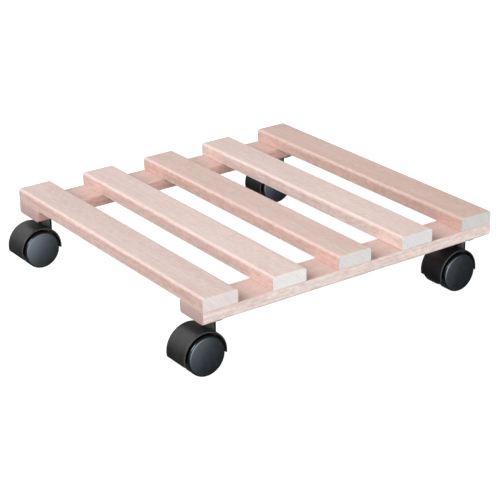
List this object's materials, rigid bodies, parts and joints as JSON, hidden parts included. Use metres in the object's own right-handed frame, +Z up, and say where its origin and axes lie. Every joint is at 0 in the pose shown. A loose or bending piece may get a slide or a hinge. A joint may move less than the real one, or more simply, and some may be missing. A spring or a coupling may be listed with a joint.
{
  "type": "plant pot caddy",
  "caption": "Square slatted wooden plant pot caddy: a flat slat deck on crossbars, carried by hooded twin-wheel swivel castors.",
  "frame": {"origin": "on the floor, midway along the overall length in X and Y; the deck's own middle is 9.75 mm towards +X because the hoods trail past its -X end", "axes": "+Z up; slats run along Y, crossbars along X; castors stored trailing towards -X"},
  "size_m": [0.3695, 0.35, 0.08],
  "materials": {
    "slat_wood": "planed and sanded, unfinished pale beech",
    "crossbar_wood": "planed and sanded, unfinished pale beech",
    "castor_plastic": "moulded, fine satin texture",
    "wheel_plastic": "moulded, fine satin texture",
    "plate_paint": "black powder coat",
    "steel": "bright zinc plated",
    "zinc_screw": "yellow-tinted zinc plated"
  },
  "bodies": {
    "deck": {"slat_1": "slat_wood", "slat_2": "slat_wood", "slat_3": "slat_wood", "slat_4": "slat_wood", "slat_5": "slat_wood", "crossbar_front": "crossbar_wood", "crossbar_back": "crossbar_wood", "slat_screws_front": "zinc_screw", "slat_screws_back": "zinc_screw", "front_left_mounting_plate": "plate_paint", "front_left_plate_screws": "zinc_screw", "front_left_swivel_pin": "steel", "front_left_thrust_washer": "steel", "front_left_retaining_clip": "steel", "front_right_mounting_plate": "plate_paint", "front_right_plate_screws": "zinc_screw", "front_right_swivel_pin": "steel", "front_right_thrust_washer": "steel", "front_right_retaining_clip": "steel", "back_left_mounting_plate": "plate_paint", "back_left_plate_screws": "zinc_screw", "back_left_swivel_pin": "steel", "back_left_thrust_washer": "steel", "back_left_retaining_clip": "steel", "back_right_mounting_plate": "plate_paint", "back_right_plate_screws": "zinc_screw", "back_right_swivel_pin": "steel", "back_right_thrust_washer": "steel", "back_right_retaining_clip": "steel"},
    "front_left_castor": {"front_left_hood": "castor_plastic", "front_left_axle": "steel"},
    "front_left_outer_wheel": {"front_left_outer_wheel": "wheel_plastic"},
    "front_left_inner_wheel": {"front_left_inner_wheel": "wheel_plastic"},
    "front_right_castor": {"front_right_hood": "castor_plastic", "front_right_axle": "steel"},
    "front_right_outer_wheel": {"front_right_outer_wheel": "wheel_plastic"},
    "front_right_inner_wheel": {"front_right_inner_wheel": "wheel_plastic"},
    "back_left_castor": {"back_left_hood": "castor_plastic", "back_left_axle": "steel"},
    "back_left_outer_wheel": {"back_left_outer_wheel": "wheel_plastic"},
    "back_left_inner_wheel": {"back_left_inner_wheel": "wheel_plastic"},
    "back_right_castor": {"back_right_hood": "castor_plastic", "back_right_axle": "steel"},
    "back_right_outer_wheel": {"back_right_outer_wheel": "wheel_plastic"},
    "back_right_inner_wheel": {"back_right_inner_wheel": "wheel_plastic"}
  },
  "joints": [
    {"name": "front_left_swivel", "type": "hinge", "parent": "deck", "child": "front_left_castor", "pos_m": [-0.14425, -0.1555, 0.0505], "axis": [0, 0, 1], "continuous": true},
    {"name": "front_left_outer_wheel_spin", "type": "hinge", "parent": "front_left_castor", "child": "front_left_outer_wheel", "pos_m": [-0.16075, -0.167, 0.02], "axis": [0, 1, 0], "continuous": true},
    {"name": "front_left_inner_wheel_spin", "type": "hinge", "parent": "front_left_castor", "child": "front_left_inner_wheel", "pos_m": [-0.16075, -0.144, 0.02], "axis": [0, 1, 0], "continuous": true},
    {"name": "front_right_swivel", "type": "hinge", "parent": "deck", "child": "front_right_castor", "pos_m": [0.16375, -0.1555, 0.0505], "axis": [0, 0, 1], "continuous": true},
    {"name": "front_right_outer_wheel_spin", "type": "hinge", "parent": "front_right_castor", "child": "front_right_outer_wheel", "pos_m": [0.14725, -0.167, 0.02], "axis": [0, 1, 0], "continuous": true},
    {"name": "front_right_inner_wheel_spin", "type": "hinge", "parent": "front_right_castor", "child": "front_right_inner_wheel", "pos_m": [0.14725, -0.144, 0.02], "axis": [0, 1, 0], "continuous": true},
    {"name": "back_left_swivel", "type": "hinge", "parent": "deck", "child": "back_left_castor", "pos_m": [-0.14425, 0.1555, 0.0505], "axis": [0, 0, 1], "continuous": true},
    {"name": "back_left_outer_wheel_spin", "type": "hinge", "parent": "back_left_castor", "child": "back_left_outer_wheel", "pos_m": [-0.16075, 0.167, 0.02], "axis": [0, 1, 0], "continuous": true},
    {"name": "back_left_inner_wheel_spin", "type": "hinge", "parent": "back_left_castor", "child": "back_left_inner_wheel", "pos_m": [-0.16075, 0.144, 0.02], "axis": [0, 1, 0], "continuous": true},
    {"name": "back_right_swivel", "type": "hinge", "parent": "deck", "child": "back_right_castor", "pos_m": [0.16375, 0.1555, 0.0505], "axis": [0, 0, 1], "continuous": true},
    {"name": "back_right_outer_wheel_spin", "type": "hinge", "parent": "back_right_castor", "child": "back_right_outer_wheel", "pos_m": [0.14725, 0.167, 0.02], "axis": [0, 1, 0], "continuous": true},
    {"name": "back_right_inner_wheel_spin", "type": "hinge", "parent": "back_right_castor", "child": "back_right_inner_wheel", "pos_m": [0.14725, 0.144, 0.02], "axis": [0, 1, 0], "continuous": true}
  ]
}
